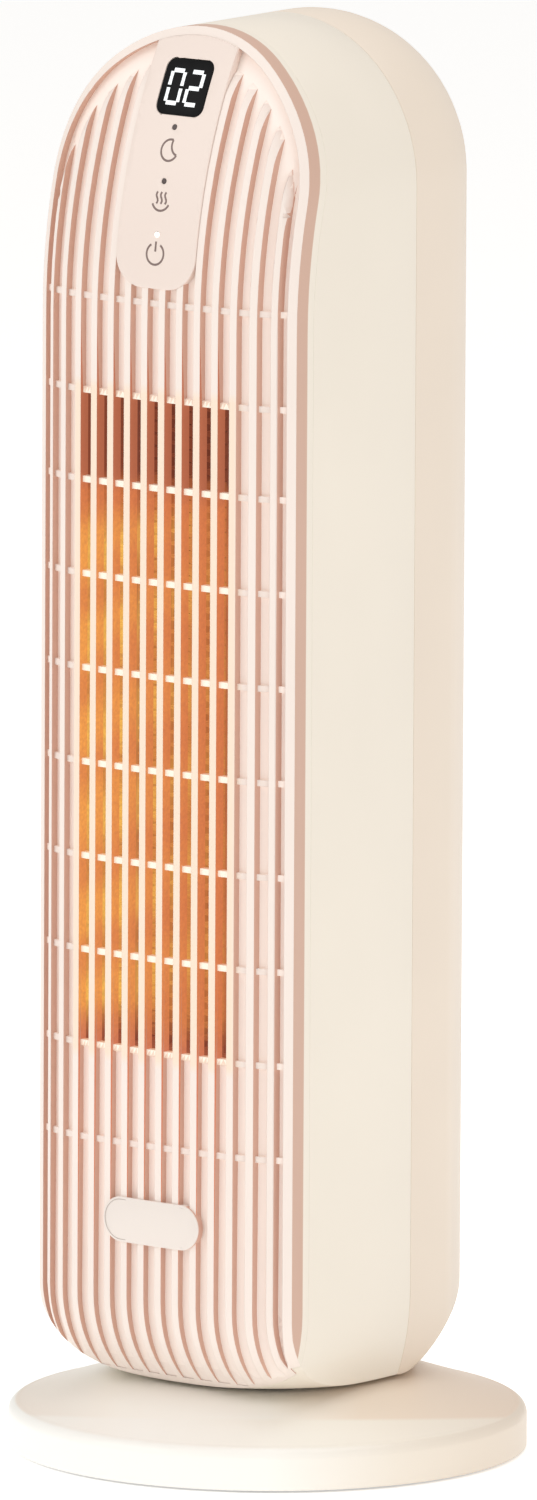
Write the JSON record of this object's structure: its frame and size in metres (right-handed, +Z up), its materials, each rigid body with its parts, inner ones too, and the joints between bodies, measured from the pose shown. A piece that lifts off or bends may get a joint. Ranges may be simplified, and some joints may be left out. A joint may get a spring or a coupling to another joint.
{
  "type": "ceramic tower fan heater",
  "caption": "Arched tower heater with a ribbed blush front, cream shell, touch panel, cross-flow fan and a round swinging base.",
  "frame": {"origin": "centre of the round base on the floor", "axes": "+Z up, the ribbed front with its display faces -Y, +X to the right as seen from the front"},
  "size_m": [0.216, 0.216, 0.6],
  "materials": {
    "warm_white": "satin",
    "grey_plastic": "matte",
    "steel": "brushed",
    "dark_rubber": "matte",
    "grey_rubber": "matte",
    "white_nylon": "satin",
    "black_plastic": "satin",
    "motor_metal": "satin",
    "cream": "satin",
    "cream_back": "satin",
    "filter_mesh": "woven mesh",
    "blush": "satin",
    "blush_panel": "satin",
    "blush_badge": "satin",
    "display_black": "gloss",
    "board_green": "lacquered",
    "light_guide": "frosted",
    "fin_aluminium": "bright sheet",
    "heater_ceramic": "matte",
    "brass": "satin",
    "dark_plastic": "matte",
    "relay_blue": "satin"
  },
  "bodies": {
    "base": {"base_cover": "warm_white", "base_plate": "grey_plastic", "base_screws": "steel", "rubber_feet": "dark_rubber", "cord_inlet": "grey_rubber", "tip_spring": "steel", "tip_switch_holder": "black_plastic", "tip_switch": "black_plastic", "thrust_ring": "white_nylon", "swing_gear": "white_nylon", "swing_lock_nut": "steel", "swing_washer": "steel"},
    "plunger": {"tip_plunger": "white_nylon"},
    "tower": {"turntable": "grey_plastic", "turntable_screws": "steel", "swing_motor_bracket": "steel", "swing_motor": "motor_metal", "casing": "cream", "rear_shell": "cream_back", "casing_screws": "steel", "intake_cover": "cream_back", "dust_filter": "filter_mesh", "front_grille": "blush", "control_panel": "blush_panel", "display_window": "display_black", "display_module": "white_nylon", "control_board": "board_green", "touch_springs": "steel", "indicator_lights": "light_guide", "badge_plate": "blush_badge", "heater_frame": "motor_metal", "heater_end_caps": "black_plastic", "fin_stacks": "fin_aluminium", "ceramic_strips": "heater_ceramic", "heater_terminals": "brass", "thermal_cutout": "black_plastic", "duct_lower_plate": "dark_plastic", "duct_upper_plate": "dark_plastic", "scroll_wall": "dark_plastic", "tongue_wall": "dark_plastic", "fan_bush": "brass", "fan_bush_mount": "dark_rubber", "fan_motor": "motor_metal", "power_board": "board_green", "relays": "relay_blue"},
    "pinion": {"swing_pinion": "white_nylon"},
    "fan": {"fan_wheel": "dark_plastic", "fan_shaft": "steel"}
  },
  "joints": [
    {"name": "tower_swing", "type": "hinge", "parent": "base", "child": "tower", "pos_m": [0, 0, 0.04], "axis": [0, 0, 1], "range_deg": [-35, 35]},
    {"name": "pinion_turn", "type": "hinge", "parent": "tower", "child": "pinion", "pos_m": [0, 0.0328, 0.044], "axis": [0, 0, 1], "range_deg": [-150, 150]},
    {"name": "fan_spin", "type": "hinge", "parent": "tower", "child": "fan", "pos_m": [0, 0.022, 0.3], "axis": [0, 0, 1], "continuous": true},
    {"name": "tip_plunger_slide", "type": "slide", "parent": "base", "child": "plunger", "axis": [0, 0, -1], "range_m": [0, 0.004], "stiffness_N_per_m": 40, "springref_m": 0.008, "deforming": ["tip_spring"]}
  ],
  "couplings": [
    {"joint": "pinion_turn", "follows": "tower_swing", "ratio": 4}
  ]
}
